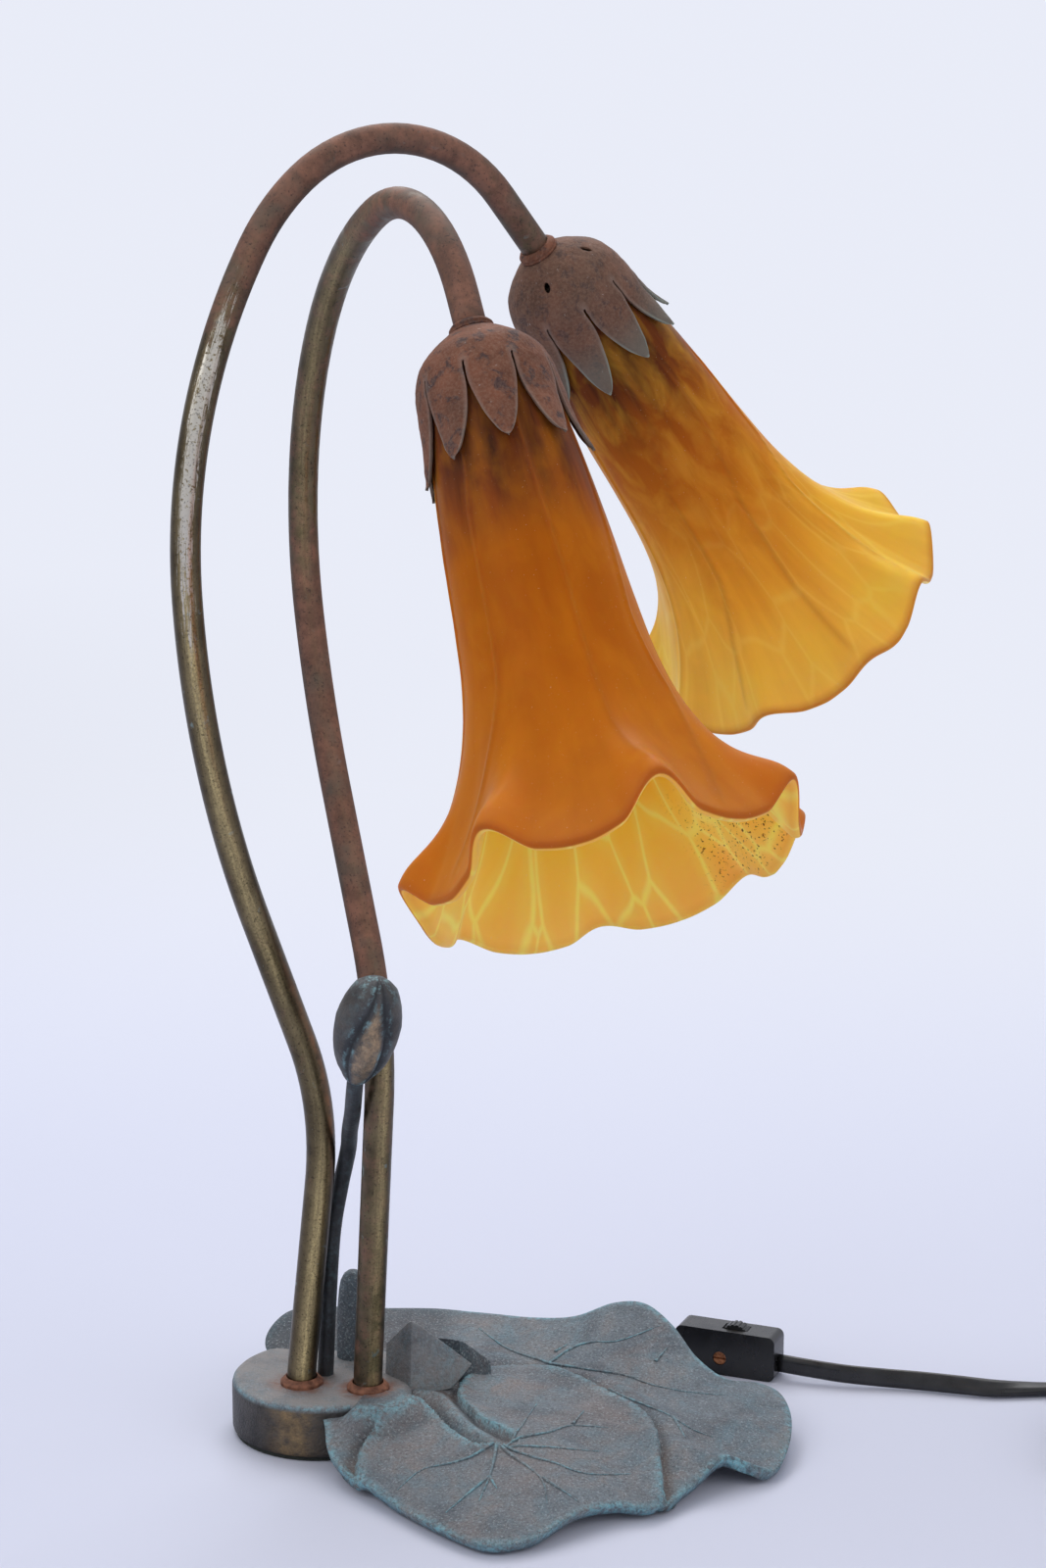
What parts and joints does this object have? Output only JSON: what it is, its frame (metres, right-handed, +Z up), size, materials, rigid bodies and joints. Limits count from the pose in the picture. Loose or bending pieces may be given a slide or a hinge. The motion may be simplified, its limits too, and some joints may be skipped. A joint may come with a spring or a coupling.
{
  "type": "table lamp",
  "caption": "Table lamp with flower-shaped ruffled amber glass shades hanging from bent metal stems on a cast lily-pad base, with a bud and a corded inline switch.",
  "frame": {"origin": "middle of the round plinth, on the felt's underside where it rests on the table", "axes": "+Z up; +X from the plinth towards the pad leaves; +Y towards the side where the cord leaves the plinth"},
  "size_m": [0.3702, 0.3722, 0.4259],
  "materials": {
    "cast_bronze": "sand-cast bronze with blue-grey verdigris",
    "felt": "pressed felt",
    "aged_brass_tube": "bent brass tube with a brown patina",
    "rusty_collar": "rusted thin collar",
    "steel_hardware": "plain zinc-plated hardware",
    "brass_hardware": "plain machined brass",
    "bud_bronze": "dark cast bronze with green-blue edges",
    "rust_collar": "rust-brown patina",
    "husk_sheet": "pressed sheet with a rust-brown mottled patina",
    "phenolic": "moulded phenolic",
    "amber_glass": "frosted iridescent amber glass",
    "bulb_glass": "frosted bulb glass",
    "bulb_cap": "pressed brass cap",
    "bulb_insulator": "black vitrite",
    "wire_insulation": "thin insulation",
    "lead_insulation": "thin insulation",
    "terminal_block": "moulded terminal block",
    "cord_jacket": "glossy flexible cord jacket",
    "switch_plastic": "glossy black moulding",
    "copper_screw": "coppered steel screw",
    "plug_plastic": "moulded plug"
  },
  "bodies": {
    "lamp": {"base_casting": "cast_bronze", "felt_pads": "felt", "stem_back": "aged_brass_tube", "stem_front": "aged_brass_tube", "foot_collars": "rusty_collar", "stem_washers": "steel_hardware", "stem_nuts": "brass_hardware", "bud": "bud_bronze", "bud_screw": "steel_hardware", "neck_collars": "rust_collar", "husk_back": "husk_sheet", "husk_front": "husk_sheet", "socket_nipples": "brass_hardware", "socket_back": "phenolic", "socket_front": "phenolic", "screw_shells": "brass_hardware", "centre_contacts": "brass_hardware", "shade_rings": "phenolic", "shade_back": "amber_glass", "shade_front": "amber_glass", "wires_back": "wire_insulation", "wires_front": "wire_insulation", "terminal_block": "terminal_block", "plinth_leads": "lead_insulation", "cord_gland": "plug_plastic", "cord_lead": "cord_jacket", "switch_case_front": "switch_plastic", "switch_case_rear": "switch_plastic", "switch_screw": "copper_screw", "switch_contacts": "brass_hardware", "cord_run": "cord_jacket", "cord_coil": "cord_jacket", "cord_tail": "cord_jacket", "coil_tie": "plug_plastic", "plug_body": "plug_plastic", "plug_blades": "brass_hardware"},
    "bulb_back": {"bulb_back_glass": "bulb_glass", "bulb_back_cap": "bulb_cap", "bulb_back_tip": "bulb_insulator"},
    "bulb_front": {"bulb_front_glass": "bulb_glass", "bulb_front_cap": "bulb_cap", "bulb_front_tip": "bulb_insulator"},
    "wheel": {"switch_wheel": "switch_plastic"}
  },
  "joints": [
    {"name": "bulb_back_unscrew", "type": "slide", "parent": "lamp", "child": "bulb_back", "axis": [0.4473, 0.4427, -0.7771], "range_m": [0, 0.008]},
    {"name": "bulb_front_unscrew", "type": "slide", "parent": "lamp", "child": "bulb_front", "axis": [0.3323, -0.4315, -0.8387], "range_m": [0, 0.008]},
    {"name": "switch_wheel_turn", "type": "hinge", "parent": "lamp", "child": "wheel", "pos_m": [0.12696, 0.07745, 0.0123], "axis": [0.1736, 0.9848, 0], "continuous": true}
  ]
}
